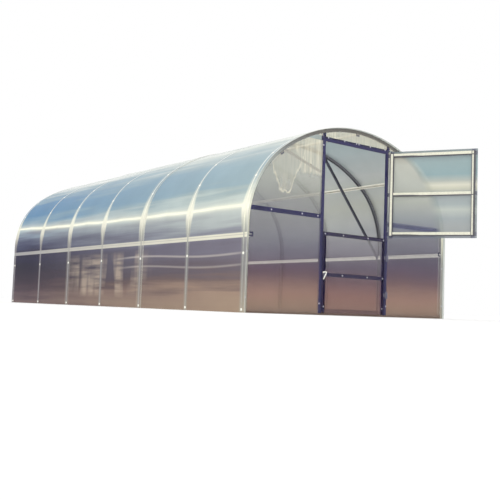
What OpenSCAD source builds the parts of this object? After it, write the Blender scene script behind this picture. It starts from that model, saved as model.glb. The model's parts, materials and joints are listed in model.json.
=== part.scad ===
// Arched polycarbonate greenhouse: seven bent steel arches with three twin-wall
// sheets over them, and a gable with a vent leaf over a door leaf at each end.
// X runs across, Y from the front gable to the rear one, Z up from the ground.
// The origin is the middle of the front sill's bottom face.

/* [Shape of the arches] */
// Outside width across the arches
frame_w = 3000; // [2500:50:3600]
// Height of an arch from the ground to its crown
frame_h = 2040; // [1950:10:2450]
// Height of the straight part of a side wall
wall_h = 880; // [740:10:900]
// Distance from one arch to the next
arch_pitch = 1000; // [800:20:1200]

/* [Steel profiles] */
// Width of a hat profile over its flanges
hat_w = 44; // [38:1:52]
// Width of the crown of a hat profile
hat_crown_w = 26; // [20:1:30]
// Depth of the arches' hat profile
arch_d = 30; // [24:1:36]
// Depth of the purlins, posts, rails and leaf frames
rail_d = 20; // [16:1:24]
// Steel thickness
steel_t = 1.2; // [0.8:0.1:1.6]
// Height of the middle of the low purlins
low_purlin_z = 760; // [650:10:800]
// Width of the diagonal braces and the gable strut
brace_w = 30; // [20:1:36]

/* [Sheets] */
// Thickness of the twin-wall sheets
sheet_t = 4; // [3.2:0.1:4.8]
// Overhang of the roof sheets beyond the end arches
sheet_overhang = 28; // [15:1:34]
// Lap of one roof sheet over the next
sheet_lap = 100; // [60:5:120]
// Width of the straps that hold the roof sheets
strap_w = 20; // [14:1:24]
// Thickness of the straps
strap_t = 1; // [0.8:0.1:1.5]
// Height of the straps' lower ends above the ground
strap_z = 10; // [5:1:30]

/* [Gables] */
// Clear width of the doorway between its posts
doorway_w = 944; // [780:4:1140]
// Width of the posts, head rail and mid rails
post_w = 46; // [38:1:55]
// Underside of the head rail above the doorway
head_z = 1850; // [1700:5:1860]
// Middle of the rails beside the doorway
mid_rail_z = 1038; // [900:10:1200]
// Height of the sill under the gable
sill_h = 20; // [15:1:24]
// Width of the leaf frames' profile
leaf_profile_w = 40; // [32:1:48]
// Line between the door leaf and the vent leaf above it
split_z = 885; // [750:1:1000]
// Middle of the door leaf's mid rail
door_rail_z = 428; // [350:1:500]
// How far a leaf's sheet laps over the frame round it
leaf_lip = 18; // [15:1:21]
// How far the vent leaf's sheet stands below and above its own frame
vent_lip = 26; // [20:1:30]
// Gap round a leaf's frame
leaf_gap = 5; // [5:0.5:6]
// How far the vent leaf stands open
vent_open = 120; // [0:5:165]

/* [Hinges and latches] */
// Height of a hinge
hinge_h = 84; // [70:1:100]
// Width of a hinge plate
hinge_plate_w = 30; // [24:1:36]
// Thickness of a hinge plate
plate_t = 2; // [1.6:0.1:2.4]
// Radius of a hinge knuckle
knuckle_r = 4.6; // [4.2:0.1:4.8]
// Radius of a hinge pin
pin_r = 2.8; // [2.4:0.1:3]
// Distance of the hinges from the ends of a leaf
hinge_inset = 218; // [150:5:260]

/* [Hidden] */
// Clearance of a pin in its knuckle
pin_gap = 0.1;
// Gap between a leaf's knuckle and the ones beside it
knuckle_gap = 0.6;
// Gap left under curved faces that seat on each other
seat = 0.4;
arches = 7;
$fn = 180;

half_w = frame_w / 2;
frame_l = (arches - 1) * arch_pitch;
rise = frame_h - wall_h;
// A haunch and the crown share the line of a 3-4-5 triangle through both centres,
// which sets both radii from the width and the rise.
ease = (half_w - rise) / 2;
haunch_r = half_w - 3 * ease;
haunch_x = half_w - haunch_r;
crown_r = half_w + 2 * ease;
crown_z = frame_h - crown_r;
joint_a = atan2(4, 3);

front_y = -hat_w / 2;
rear_y = frame_l + hat_w / 2;
post_x = doorway_w / 2;
head_top_z = head_z + post_w;

sheet_in = seat;
lap_in = sheet_in + sheet_t + seat;
lap_y = [2 * arch_pitch, 4 * arch_pitch];
strap_in = [for (i = [0:arches - 1]) seat + sheet_t + (i >= 2 && i <= 4 ? lap_in : sheet_in)];

leaf_x = post_x - leaf_gap;
leaf_sheet_x = post_x + leaf_lip;
panel_x = leaf_sheet_x + 8;
panel_head_z = head_z + leaf_lip + 10;
door_bottom_z = sill_h + leaf_gap + 1;
door_sheet_z = 8;
door_top_z = split_z - 3;
vent_sheet_z = [split_z + 3, head_z + leaf_lip + 4];
vent_frame_z = [vent_sheet_z[0] + vent_lip, head_z - leaf_gap];
hinge_x = (leaf_sheet_x + panel_x) / 2;
plate_y = front_y - sheet_t;
hinge_y = plate_y - 5;
door_hinge_z = [door_bottom_z + hinge_inset, door_top_z - hinge_inset];
vent_hinge_z = [vent_frame_z[0] + hinge_inset, vent_frame_z[1] - hinge_inset];
latch_size = [26, 60];

steel = [0.62, 0.64, 0.67];
dark_steel = [0.25, 0.26, 0.38];
pale_steel = [0.82, 0.81, 0.74];
clear_blue = [0.55, 0.68, 0.76, 0.6];
clear_grey = [0.6, 0.6, 0.64, 0.6];

// ---- Outlines -------------------------------------------------------------

// Points of an arc round [x, z]
function arc(x, z, r, from, to, n) =
    [for (i = [0:n]) let (a = from + (to - from) * i / n) [x + r * cos(a), z + r * sin(a)]];

// The arches' outer outline, moved in by inset, from the ground on the right
// over the crown to the ground on the left
function outline(inset) = concat(
    [[half_w - inset, 0]],
    arc(haunch_x, wall_h, haunch_r - inset, 0, joint_a, 18),
    arc(0, crown_z, crown_r - inset, joint_a, 180 - joint_a, 28),
    arc(-haunch_x, wall_h, haunch_r - inset, 180 - joint_a, 180, 18),
    [[inset - half_w, 0]]);

// A hat profile whose crown faces +X at x = 0 and whose flanges lie at -depth
module hat_section(depth) {
    c = hat_crown_w / 2;
    w = hat_w / 2;
    t = steel_t;
    polygon([
        [0, -c], [0, c], [t - depth, c], [t - depth, w], [-depth, w], [-depth, c - t],
        [-t, c - t], [-t, t - c], [-depth, t - c], [-depth, -w], [t - depth, -w],
        [t - depth, -c]]);
}

// Extrudes an outline drawn in X and Z from one Y to another
module extrude_y(from, to) {
    translate([0, to, 0])
        rotate([90, 0, 0])
            linear_extrude(height = to - from) children();
}

// Turns a section about a Y axis, starting in the +X direction
module sweep_y(radius, angle) {
    rotate([90, 0, 0])
        mirror([0, 0, 1])
            rotate_extrude(angle = angle) translate([radius, 0]) children();
}

// Everything on one side of the line that a haunch and the crown share, about
// the centre of either: side 1 is above it and side -1 below
module beyond_joint(side) {
    rotate([0, -joint_a, 0])
        translate([0, 0, side * frame_w])
            cube([4 * frame_w, 4 * frame_l, 2 * frame_w], center = true);
}

// Carries a section along an arch. The section's x is measured outwards from the
// arches' outer face and its y along the greenhouse.
module along_arch(foot_z = 0) {
    for (side = [0, 1])
        mirror([side, 0, 0]) {
            translate([half_w, 0, foot_z])
                linear_extrude(height = wall_h - foot_z) children();
            translate([haunch_x, 0, wall_h])
                difference() {
                    sweep_y(haunch_r, joint_a + 5) children();
                    beyond_joint(1);
                }
            translate([0, 0, crown_z])
                difference() {
                    sweep_y(crown_r, 95) children();
                    beyond_joint(-1);
                    translate([-frame_w, 0, 0])
                        cube([2 * frame_w, 4 * frame_l, 4 * frame_w], center = true);
                }
        }
}

// ---- Frame ----------------------------------------------------------------

module arch(number) {
    color(steel)
        translate([0, (number - 1) * arch_pitch, 0])
            along_arch() hat_section(arch_d);
}

// A straight hat profile from gable to gable, its crown facing outwards
module purlin() {
    color(steel)
        extrude_y(front_y, rear_y) hat_section(rail_d);
}

module low_purlin(side) {
    mirror([side, 0, 0])
        translate([half_w - arch_d, 0, low_purlin_z]) purlin();
}

module crown_purlin(angle) {
    translate([0, 0, crown_z])
        rotate([0, -angle, 0])
            translate([crown_r - arch_d - seat, 0, 0]) purlin();
}

module base_rail(side) {
    mirror([side, 0, 0])
        translate([half_w - arch_d, 0, hat_w / 2]) purlin();
}

module sill(y) {
    length = frame_w - 2 * (arch_d + rail_d);
    color(steel)
        translate([0, y, sill_h / 2])
            difference() {
                cube([length, hat_w, sill_h], center = true);
                cube([length + 2, hat_w - 2 * steel_t, sill_h - 2 * steel_t], center = true);
            }
}

// A flat bar between two points of the X-Z plane, trimmed to the arch's inside
module trimmed_bar(start, end, extra) {
    run = end - start;
    intersection() {
        translate(start)
            rotate(atan2(run[1], run[0]))
                translate([-extra, -brace_w / 2]) square([norm(run) + 2 * extra, brace_w]);
        polygon(outline(arch_d + seat));
        children();
    }
}

// Diagonals of the second arch, from its crown down to the low purlins
module arch_braces() {
    foot = [half_w - arch_d - rail_d, low_purlin_z];
    top_x = 0.3 * half_w;
    top = [top_x, crown_z + sqrt(pow(crown_r - arch_d, 2) - pow(top_x, 2))];
    color(steel)
        for (side = [0, 1])
            mirror([side, 0, 0])
                extrude_y(arch_pitch - rail_d / 2, arch_pitch + rail_d / 2)
                    trimmed_bar(top, foot, brace_w)
                        square([foot[0], frame_h]);
}

// ---- Roof -----------------------------------------------------------------

module roof_sheet(from, to, inner) {
    color(clear_blue)
        along_arch()
            translate([inner, from]) square([sheet_t, to - from]);
}

module roof_straps() {
    color(pale_steel)
        for (i = [0:arches - 1])
            translate([0, i * arch_pitch, 0])
                along_arch(strap_z)
                    translate([strap_in[i], -strap_w / 2]) square([strap_t, strap_w]);
}

// ---- Gable ----------------------------------------------------------------

// A profile's outline in X and Z, pressed to a channel that is open at the back
module channel(size) {
    difference() {
        cube([size[0], rail_d, size[1]]);
        if (size[0] < size[1])
            translate([steel_t, steel_t, -1]) cube([size[0] - 2 * steel_t, rail_d, size[1] + 2]);
        else
            translate([-1, steel_t, steel_t]) cube([size[0] + 2, rail_d, size[1] - 2 * steel_t]);
    }
}

module within_arches(inset) {
    intersection() {
        children();
        extrude_y(front_y - 1, front_y + rail_d + 1) polygon(outline(inset));
    }
}

module gable_post(side) {
    color(dark_steel)
        mirror([side, 0, 0])
            within_arches(arch_d + seat)
                translate([post_x, front_y, sill_h]) channel([post_w, frame_h - sill_h]);
}

module gable_head_rail() {
    color(dark_steel)
        translate([-post_x, front_y, head_z]) channel([doorway_w, post_w]);
}

module gable_mid_rail(side) {
    start = post_x + post_w;
    color(dark_steel)
        mirror([side, 0, 0])
            within_arches(arch_d + seat)
                translate([start, front_y, mid_rail_z - post_w / 2])
                    channel([half_w - start, post_w]);
}

// Strut in the front gable, from beside the high purlin to the left post
module front_strut() {
    arch_x = 0.68 * half_w;
    arch_z = crown_z + sqrt(pow(crown_r - arch_d, 2) - pow(arch_x, 2)) - 0.75 * brace_w;
    post_side = post_x + post_w;
    slope = 0.34;
    color(steel)
        extrude_y(front_y + steel_t, front_y + rail_d)
            trimmed_bar([-post_side, arch_z - slope * (arch_x - post_side)],
                        [-arch_x, arch_z], brace_w)
                translate([-half_w, 0]) square([half_w - post_side, frame_h]);
}

// A piece of the gable sheet inside a box of the X-Z plane
module gable_sheet(from, to) {
    color(clear_grey)
        extrude_y(front_y - sheet_t, front_y)
            intersection() {
                polygon(outline(1));
                translate(from) square(to - from);
            }
}

module side_panel(side) {
    mirror([side, 0, 0])
        gable_sheet([panel_x, 0], [half_w, frame_h]);
}

module top_panel() {
    gable_sheet([-panel_x + 2, panel_head_z], [panel_x - 2, frame_h]);
}

// ---- Leaves ---------------------------------------------------------------

// Two stiles and three rails pressed as channels that are open to the sheet
module leaf_frame(z, rail_z) {
    w = leaf_profile_w;
    middle = [[z[0] + w, rail_z - w / 2], [rail_z + w / 2, z[1] - w]];
    color(dark_steel)
        difference() {
            translate([-leaf_x, front_y, z[0]]) cube([2 * leaf_x, rail_d, z[1] - z[0]]);
            for (bay = middle)
                translate([w - leaf_x, front_y - 1, bay[0]])
                    cube([2 * (leaf_x - w), rail_d + 2, bay[1] - bay[0]]);
            for (side = [-1, 1])
                translate([side * (leaf_x - w / 2), front_y, (z[0] + z[1]) / 2])
                    cube([w - 2 * steel_t, 2 * (rail_d - steel_t), z[1] - z[0] - 2 * steel_t],
                        center = true);
            for (mid_z = [z[0] + w / 2, rail_z, z[1] - w / 2])
                translate([0, front_y, mid_z])
                    cube([2 * (leaf_x - w) + 4 * steel_t, 2 * (rail_d - steel_t),
                        w - 2 * steel_t], center = true);
        }
}

module leaf_sheet(z) {
    color(clear_grey)
        translate([-leaf_sheet_x, front_y - sheet_t, z[0]])
            cube([2 * leaf_sheet_x, sheet_t, z[1] - z[0]]);
}

module knuckle(z, height) {
    translate([hinge_x, hinge_y, z]) cylinder(r = knuckle_r, h = height, $fn = 48);
}

// The post's half of a hinge: plate, two knuckles and the pin between them
module post_hinge(z) {
    end_h = hinge_h / 4;
    color(pale_steel) {
        translate([hinge_x + 6, plate_y - plate_t, z - hinge_h / 2])
            cube([hinge_plate_w, plate_t, hinge_h]);
        for (end_z = [z - hinge_h / 2, z + hinge_h / 2 - end_h]) {
            translate([hinge_x + 2, plate_y - plate_t, end_z]) cube([6, plate_t, end_h]);
            knuckle(end_z, end_h);
        }
        translate([hinge_x, hinge_y, z - hinge_h / 2 + 1])
            cylinder(r = pin_r, h = hinge_h - 2, $fn = 48);
    }
}

// The leaf's half: a plate on the sheet and the middle knuckle
module leaf_hinge(z) {
    length = hinge_h / 2 - 2 * knuckle_gap;
    color(pale_steel)
        difference() {
            union() {
                translate([hinge_x - 2 - hinge_plate_w, plate_y - plate_t, z - length / 2])
                    cube([hinge_plate_w, plate_t, length]);
                knuckle(z - length / 2, length);
            }
            translate([hinge_x, hinge_y, z - length])
                cylinder(r = pin_r + pin_gap, h = 2 * length, $fn = 48);
        }
}

// A turn button on the free side of a leaf: plate, boss and lever
module latch(z, lever_l) {
    x = 8 - leaf_x;
    color(pale_steel) {
        translate([x, plate_y - 3, z - latch_size[1] / 2])
            cube([latch_size[0], 3, latch_size[1]]);
        translate([x + latch_size[0] / 2, plate_y - 2, z])
            rotate([90, 0, 0]) cylinder(r = 8, h = 10, $fn = 48);
        translate([x + latch_size[0] / 2 - lever_l, plate_y - 12, z - 7])
            cube([lever_l, 5, 14]);
    }
}

// Turns the vent leaf about its hinge pins to where it stands open
module opened() {
    translate([hinge_x, hinge_y, 0])
        rotate([0, 0, vent_open])
            translate([-hinge_x, -hinge_y, 0]) children();
}

module front_hinges() {
    for (z = concat(vent_hinge_z, door_hinge_z)) post_hinge(z);
}

module vent_leaf_frame() {
    opened() leaf_frame(vent_frame_z, (vent_frame_z[0] + vent_frame_z[1]) / 2);
}

module vent_leaf_hinges() {
    opened() for (z = vent_hinge_z) leaf_hinge(z);
}

module vent_latch() {
    opened() latch((vent_frame_z[0] + vent_frame_z[1]) / 2 - 60, 34);
}

module door_leaf_frame() {
    leaf_frame([door_bottom_z, door_top_z], door_rail_z);
}

module door_leaf_hinges() {
    for (z = door_hinge_z) leaf_hinge(z);
}

// ---- Rear gable -----------------------------------------------------------

// Places what is drawn for the front gable at the rear one
module at_rear() {
    translate([0, frame_l, 0]) mirror([0, 1, 0]) children();
}

module rear_posts() {
    at_rear() for (side = [0, 1]) gable_post(side);
}

module rear_rails() {
    at_rear() {
        gable_head_rail();
        for (side = [0, 1]) gable_mid_rail(side);
    }
}

module rear_panels() {
    at_rear() {
        for (side = [0, 1]) side_panel(side);
        top_panel();
    }
}

module rear_leaf_frames() {
    at_rear() {
        leaf_frame(vent_frame_z, (vent_frame_z[0] + vent_frame_z[1]) / 2);
        door_leaf_frame();
    }
}

module rear_leaf_sheets() {
    at_rear() {
        leaf_sheet(vent_sheet_z);
        leaf_sheet([door_sheet_z, door_top_z]);
    }
}

// The rear leaves are shut, so each hinge is one piece
module rear_hinges() {
    color(pale_steel)
        at_rear()
            for (z = concat(vent_hinge_z, door_hinge_z)) {
                translate([hinge_x - 2 - hinge_plate_w, plate_y - plate_t, z - hinge_h / 2])
                    cube([2 * hinge_plate_w + 4, plate_t, hinge_h]);
                knuckle(z - hinge_h / 2, hinge_h);
            }
}

// ---- Nodes ----------------------------------------------------------------

arch(1);  // arch_1
arch(2);  // arch_2
arch(3);  // arch_3
arch(4);  // arch_4
arch(5);  // arch_5
arch(6);  // arch_6
arch(7);  // arch_7
low_purlin(1);  // purlin_low_left
low_purlin(0);  // purlin_low_right
crown_purlin(180 - joint_a);  // purlin_high_left
crown_purlin(joint_a);  // purlin_high_right
crown_purlin(90);  // ridge_purlin
base_rail(1);  // base_rail_left
base_rail(0);  // base_rail_right
sill(0);  // front_sill
sill(frame_l);  // rear_sill
arch_braces();
roof_sheet(front_y - sheet_overhang, lap_y[0] + sheet_lap / 2, sheet_in);  // roof_sheet_front
roof_sheet(lap_y[0] - sheet_lap / 2, lap_y[1] + sheet_lap / 2, lap_in);  // roof_sheet_middle
roof_sheet(lap_y[1] - sheet_lap / 2, rear_y + sheet_overhang, sheet_in);  // roof_sheet_rear
roof_straps();
gable_post(1);  // front_post_left
gable_post(0);  // front_post_right
gable_head_rail();  // front_head_rail
gable_mid_rail(1);  // front_mid_rail_left
gable_mid_rail(0);  // front_mid_rail_right
front_strut();
side_panel(1);  // front_panel_left
side_panel(0);  // front_panel_right
top_panel();  // front_panel_top
front_hinges();
vent_leaf_frame();
opened() leaf_sheet(vent_sheet_z);  // vent_leaf_sheet
vent_leaf_hinges();
vent_latch();
door_leaf_frame();
leaf_sheet([door_sheet_z, door_top_z]);  // door_leaf_sheet
door_leaf_hinges();
latch(door_rail_z, 34);  // door_latch
rear_posts();
rear_rails();
rear_panels();
rear_leaf_frames();
rear_leaf_sheets();
rear_hinges();
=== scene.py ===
# Arched greenhouse of bent steel profiles under twin-wall polycarbonate sheets.
# Sections follow the build: frame, roof, gables, leaves, fixings, studio.
import json
import math

import bpy
import numpy as np
from mathutils import Matrix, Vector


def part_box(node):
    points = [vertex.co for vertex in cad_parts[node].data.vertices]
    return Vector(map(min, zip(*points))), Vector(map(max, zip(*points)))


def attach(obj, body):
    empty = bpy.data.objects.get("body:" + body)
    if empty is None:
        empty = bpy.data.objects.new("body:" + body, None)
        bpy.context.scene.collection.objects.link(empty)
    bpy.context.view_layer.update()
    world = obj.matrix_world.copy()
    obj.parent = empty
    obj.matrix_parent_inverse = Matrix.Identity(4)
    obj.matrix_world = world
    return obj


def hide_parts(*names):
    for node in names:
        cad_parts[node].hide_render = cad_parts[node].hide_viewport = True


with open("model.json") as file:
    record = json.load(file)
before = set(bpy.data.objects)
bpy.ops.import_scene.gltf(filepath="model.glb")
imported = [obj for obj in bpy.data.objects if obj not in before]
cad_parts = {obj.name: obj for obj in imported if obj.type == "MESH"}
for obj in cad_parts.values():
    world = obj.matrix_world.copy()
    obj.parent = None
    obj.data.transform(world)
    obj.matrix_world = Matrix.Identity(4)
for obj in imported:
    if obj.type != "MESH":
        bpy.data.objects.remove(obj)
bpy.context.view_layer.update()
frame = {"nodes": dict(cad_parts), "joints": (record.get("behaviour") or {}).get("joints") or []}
parts = frame["nodes"]

# ---------------------------------------------------------------- bent arches
# Seven hat profiles of galvanised steel, each roll-bent to an upright leg, a
# tight haunch and a flatter crown. They carry everything else.
arch_low, arch_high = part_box("arch_1")
arch_count = sum(name[5:].isdigit() for name in parts if name.startswith("arch_"))
wall_h = 0.88
half_w = arch_high.x
pitch = (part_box("arch_7")[0].y - arch_low.y) / (arch_count - 1)
arch_y = np.arange(arch_count) * pitch
ease = (half_w - (arch_high.z - wall_h)) / 2
haunch_r = half_w - 3 * ease
crown_r = half_w + 2 * ease
haunch_a = math.atan2(4, 3)
half_run = wall_h + haunch_r * haunch_a + crown_r * (math.pi / 2 - haunch_a)


def paint(red, green, blue):
    """Linear RGBA of a paint-card colour given as 0 to 255."""
    card = np.array([red, green, blue]) / 255
    linear = np.where(card <= 0.04045, card / 12.92, ((card + 0.055) / 1.055) ** 2.4)
    return (*[float(c) for c in linear], 1.0)


def fill(node, inputs):
    """Fills a shader node's sockets with values or links."""
    for key, value in inputs.items():
        if isinstance(value, bpy.types.NodeSocket):
            node.id_data.links.new(value, node.inputs[key])
        else:
            node.inputs[key].default_value = value


def put(tree, kind, inputs=None, **settings):
    """Adds a shader node, sets its options and fills its sockets."""
    made = tree.nodes.new(kind)
    for key, value in settings.items():
        setattr(made, key, value)
    fill(made, inputs or {})
    return made


def math_node(operation):
    """A function that adds one Math node of an operation, in the tree of the first socket
    among its values. The one called scaled gives first times second plus third."""
    def reckon(*values, clamp=False):
        tree = next(value for value in values if isinstance(value, bpy.types.NodeSocket)).id_data
        return put(tree, "ShaderNodeMath", dict(enumerate(values)), operation=operation,
                   use_clamp=clamp).outputs[0]
    return reckon


times, share, scaled = map(math_node, ("MULTIPLY", "DIVIDE", "MULTIPLY_ADD"))


def ramp(factor, stops):
    """A ramp through stops of (position, red, green, blue) or (position, value)."""
    made = put(factor.id_data, "ShaderNodeValToRGB", {"Fac": factor})
    points = made.color_ramp.elements
    while len(points) < len(stops):
        points.new(0.5)
    for point, (position, *card) in zip(points, stops):
        point.position = position
        point.color = paint(*card) if len(card) == 3 else (*card * 3, 1.0)
    return made.outputs["Color"]


def blend(mask, first, second, part=1.0):
    """Goes from one colour to another by a mask, at part of its strength."""
    if part < 1:
        mask = times(mask, part)
    filled = {0: mask, 6: first, 7: second}
    return put(mask.id_data, "ShaderNodeMix", filled, data_type="RGBA").outputs[2]


def shade(colour, factor):
    """A colour scaled by a value."""
    return put(colour.id_data, "ShaderNodeVectorMath", {0: colour, "Scale": factor},
               operation="SCALE").outputs[0]


def noise(spot, scale, detail, roughness=0.5, stretch=None):
    """A noise texture's value, over places that are stretched by a factor on each axis."""
    if stretch:
        spot = put(spot.id_data, "ShaderNodeMapping", {"Vector": spot, "Scale": stretch}).outputs[0]
    return put(spot.id_data, "ShaderNodeTexNoise", {
        "Vector": spot, "Scale": scale, "Detail": detail, "Roughness": roughness}).outputs["Fac"]


def bump(height, strength, distance):
    """The normal from a fine height."""
    filled = {"Height": height, "Strength": strength, "Distance": distance}
    return put(height.id_data, "ShaderNodeBump", filled).outputs[0]


def effect(name, inputs, outputs):
    """An empty shader node group with named sockets: returns it, its input sockets and its
    output node."""
    group = bpy.data.node_groups.new(name, "ShaderNodeTree")
    for way, sockets in (("INPUT", inputs), ("OUTPUT", outputs)):
        for label, kind in sockets.items():
            group.interface.new_socket(label, in_out=way, socket_type="NodeSocket" + kind)
    return group, group.nodes.new("NodeGroupInput").outputs, group.nodes.new("NodeGroupOutput")


def use(group, inputs):
    """The outputs of a group, placed in the tree of its first input, which is a socket."""
    tree = next(iter(inputs.values())).id_data
    return put(tree, "ShaderNodeGroup", inputs, node_tree=group).outputs


def new_material(name):
    """A material with one Principled shader: returns it and the shader."""
    made = bpy.data.materials.new(name)
    made.use_nodes = True
    return made, made.node_tree.nodes["Principled BSDF"]


def place(shader):
    """The object coordinates socket, and its X, Y and Z."""
    spot = put(shader.id_data, "ShaderNodeTexCoord").outputs["Object"]
    return spot, *put(shader.id_data, "ShaderNodeSeparateXYZ", {0: spot}).outputs


# Zinc coating: hand-sized crystals, duller patches, and a fine bump
zinc, zinc_in, zinc_out = effect(
    "zinc_coat", {"Place": "Vector", "Colour": "Color", "Dull": "Color", "Wear": "Float"},
    {"Colour": "Color", "Roughness": "Float", "Height": "Float"})
crystals = put(zinc, "ShaderNodeTexVoronoi", {"Vector": zinc_in["Place"], "Scale": 90.0})
crystal_tone = put(zinc, "ShaderNodeSeparateColor", {0: crystals.outputs["Color"]}).outputs[0]
patches = noise(zinc_in["Place"], 6.0, 6.0, 0.6)
dulled = blend(times(patches, zinc_in["Wear"], clamp=True), zinc_in["Colour"], zinc_in["Dull"])
fill(zinc_out, {"Colour": shade(dulled, scaled(crystal_tone, 0.14, 0.93)),
                "Roughness": scaled(patches, 0.3, 0.28),
                "Height": noise(zinc_in["Place"], 400.0, 2.0)})


def coated(shader, spot, colour, dull, wear):
    """The zinc coating's sockets. Its roughness goes to the shader."""
    coat = use(zinc, {"Place": spot, "Colour": colour, "Dull": dull, "Wear": wear})
    fill(shader, {"Roughness": coat["Roughness"]})
    return coat


def zinc_material(name, colour, dull, wear, metallic):
    """Galvanised steel in one tone, with a fine bump from the coating."""
    made, shader = new_material(name)
    coat = coated(shader, place(shader)[0], colour, dull, wear)
    fill(shader, {"Base Color": coat["Colour"], "Metallic": metallic,
                  "Normal": bump(coat["Height"], 0.08, 0.001)})
    return made


def dress(names, material):
    """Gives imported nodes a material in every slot."""
    for name in names:
        slots = parts[name].data.materials
        slots.clear()
        slots.append(material)


# Painted light and shade: the end arches and strut are painted a sunlit cream, and the second arch a
# dark tone for the shadow it stands in.
front_zinc_painted_lit = zinc_material("zinc_front_arch", paint(206, 208, 198), paint(178, 180, 178), 0.8, 0.05)
second_zinc_painted_shade = zinc_material("zinc_second_arch", paint(100, 101, 108), paint(130, 132, 136), 0.7, 0.2)
dress(["arch_2"], second_zinc_painted_shade)


def far_arch_material(name):
    """Zinc with painted light: it takes the tone of the daylit sheets behind it, ruddy near the soil,
    violet at the height of the horizon, and pale above."""
    made, shader = new_material(name)
    spot, x, y, z = place(shader)
    tone = ramp(share(z, arch_high.z), [
        (0.00, 146, 126, 112), (0.20, 120, 100, 102), (0.31, 92, 82, 98), (0.41, 128, 126, 136),
        (0.55, 160, 161, 164), (0.70, 180, 182, 174), (1.00, 164, 178, 180)])
    fill(shader, {"Base Color": coated(shader, spot, tone, tone, 0.2)["Colour"]})
    return made


dress([f"arch_{i}" for i in range(3, arch_count)], far_arch_material("zinc_far_arches"))
dress(["arch_1", f"arch_{arch_count}"], front_zinc_painted_lit)


def arch_line(run):
    """Points (x, z) and outward normals of the arches' outer outline. run is the way along it
    from the right foot: up the leg, round the haunch's arc, over the crown's arc, and mirrored
    down the left side."""
    run = np.asarray(run, float)
    way = np.minimum(run, 2 * half_run - run)
    side = np.where(run <= half_run, 1.0, -1.0)
    turn = np.clip((way - wall_h) / haunch_r, 0, haunch_a)
    over = np.clip((way - wall_h - haunch_r * haunch_a) / crown_r, 0, None)
    x = half_w - haunch_r + haunch_r * np.cos(turn)
    x = x + crown_r * (np.cos(haunch_a + over) - math.cos(haunch_a))
    z = np.minimum(way, wall_h) + haunch_r * np.sin(turn)
    z = z + crown_r * (np.sin(haunch_a + over) - math.sin(haunch_a))
    return side * x, z, side * np.cos(turn + over), np.sin(turn + over)


# ---------------------------------------------------------------- purlins and rails
# Straight hat profiles from gable to gable: base rails on the ground, low and
# high purlins and the ridge, bolted inside the arches, with the second arch's braces.
beyond, sign_of = map(math_node, ("GREATER_THAN", "SIGN"))


def purlin_material(name, lift):
    """Zinc painted bright as if sunlit, with painted shade on faces that point down and not inwards.
    lift is a faint painted glow that stands in for the sky which its inner faces mirror."""
    made, shader = new_material(name)
    spot, x, y, z = place(shader)
    facing = put(shader.id_data, "ShaderNodeTexCoord").outputs["Normal"]
    facing_x, _, facing_z = put(shader.id_data, "ShaderNodeSeparateXYZ", {0: facing}).outputs
    not_inward = beyond(times(facing_x, sign_of(x)), -0.3)
    # Painted shade on faces that point down and not inwards
    dark = times(scaled(facing_z, -4.0, -1.0, clamp=True), not_inward)
    coat = coated(shader, spot, paint(250, 248, 234), paint(228, 226, 212), 0.8)
    tone = blend(dark, coat["Colour"], paint(58, 58, 68))
    fill(shader, {"Base Color": tone, "Emission Color": tone, "Emission Strength": lift})
    return made


rail_zinc = purlin_material("zinc_purlins", 0.0)
dress(["purlin_high_left", "purlin_high_right", "ridge_purlin"], rail_zinc)
dress(["purlin_low_left", "purlin_low_right"], purlin_material("zinc_low_purlins", 0.42))
# Painted shade: the braces are painted dark for the shadow they stand in inside the greenhouse.
dress(["arch_braces"],
      zinc_material("zinc_braces", paint(52, 52, 66), paint(84, 84, 96), 0.7, 0.25))
sill_zinc = zinc_material("zinc_sills", paint(112, 94, 84), paint(134, 116, 104), 0.7, 0.1)
dress(["front_sill", "rear_sill", "base_rail_left", "base_rail_right"], sill_zinc)
dress(["front_strut"], front_zinc_painted_lit)

# ---------------------------------------------------------------- roof sheets
# Three 2.1 m sheets of 4 mm twin-wall polycarbonate, each bent over the arches
# from ground to ground. The middle one laps over its neighbours by 0.1 m, and all
# of them belly a little between the arches that they are strapped to.
sheet_t = 0.004
run_steps = 217
belly_out = 0.0012
belly_in = 0.0026
rib_pitch = 0.0058
roof_opacity = 0.93
shadow_opacity = 0.1
roof_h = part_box("roof_sheet_middle")[1].z
rear_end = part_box("roof_sheet_rear")[1].y


def solid(name, points, faces, materials, layers, smooth_angle=35):
    """A linked mesh object from arrays of points, faces and each face's material number,
    smooth below the angle. Faces turn outwards by the sign of the volume that they enclose."""
    corners = points[faces]
    area = np.cross(corners[:, 2] - corners[:, 0], corners[:, -1] - corners[:, 1])
    if (corners.mean(1) * area).sum() < 0:
        faces = faces[:, ::-1]
    mesh = bpy.data.meshes.new(name)
    mesh.from_pydata(points.tolist(), [], faces.tolist())
    for material in materials:
        mesh.materials.append(material)
    mesh.polygons.foreach_set("material_index", np.asarray(layers, np.int32))
    mesh.polygons.foreach_set("use_smooth", np.ones(len(faces), bool))
    mesh.set_sharp_from_angle(angle=math.radians(smooth_angle))
    made = bpy.data.objects.new(name, mesh)
    bpy.context.scene.collection.objects.link(made)
    return made


def shell(name, outer, inner, materials):
    """A closed thin solid between two grids of points of the same shape: the outer skin in the
    first material, the inner one in the second, and a strip round their borders in the third."""
    rows, columns = outer.shape[:2]
    count = rows * columns
    index = np.arange(count).reshape(rows, columns)
    skin = np.stack([index[:-1, :-1], index[1:, :-1], index[1:, 1:], index[:-1, 1:]], 2).reshape(-1, 4)
    border = np.concatenate([index[0, :-1], index[:-1, -1], index[-1, :0:-1], index[:0:-1, 0]])
    ahead = np.roll(border, -1)
    edge = np.stack([ahead, border, border + count, ahead + count], 1)
    faces = np.concatenate([skin, skin[:, ::-1] + count, edge])
    points = np.concatenate([outer.reshape(-1, 3), inner.reshape(-1, 3)])
    layers = np.repeat([0, 1, 2], [len(skin), len(skin), len(edge)])
    return solid(name, points, faces, materials, layers)


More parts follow.
